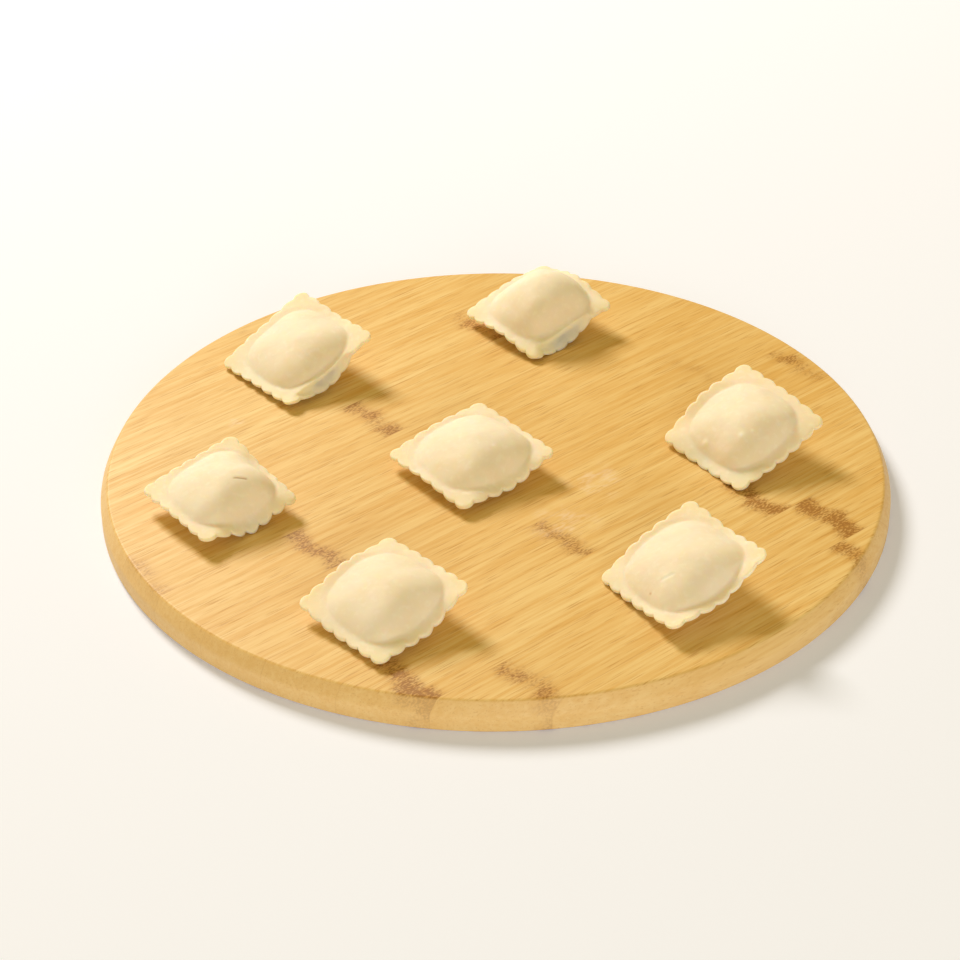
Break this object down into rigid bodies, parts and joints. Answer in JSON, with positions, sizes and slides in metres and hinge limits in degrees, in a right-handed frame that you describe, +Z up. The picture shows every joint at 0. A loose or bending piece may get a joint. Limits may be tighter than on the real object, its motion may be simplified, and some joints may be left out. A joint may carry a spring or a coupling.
{
  "type": "vareniki on a board",
  "caption": "Raw square vareniki with fluted edges and domed fillings, spread out on a round bamboo board with a bevelled rim.",
  "frame": {"origin": "middle of the board's flat underside", "axes": "+Z up through the board, -Y towards the viewer, +X to the viewer's right"},
  "size_m": [0.3, 0.3, 0.0376],
  "materials": {
    "bamboo": "satin, lightly oiled, glued strips with fine grain and brown knuckle marks",
    "dough": "matte raw dough with a thin dusting of flour"
  },
  "bodies": {
    "root": {"board": "bamboo", "varenik_rear_left": "dough", "varenik_rear_middle": "dough", "varenik_right": "dough", "varenik_left": "dough", "varenik_centre": "dough", "varenik_front_left": "dough", "varenik_front_right": "dough"}
  },
  "joints": []
}
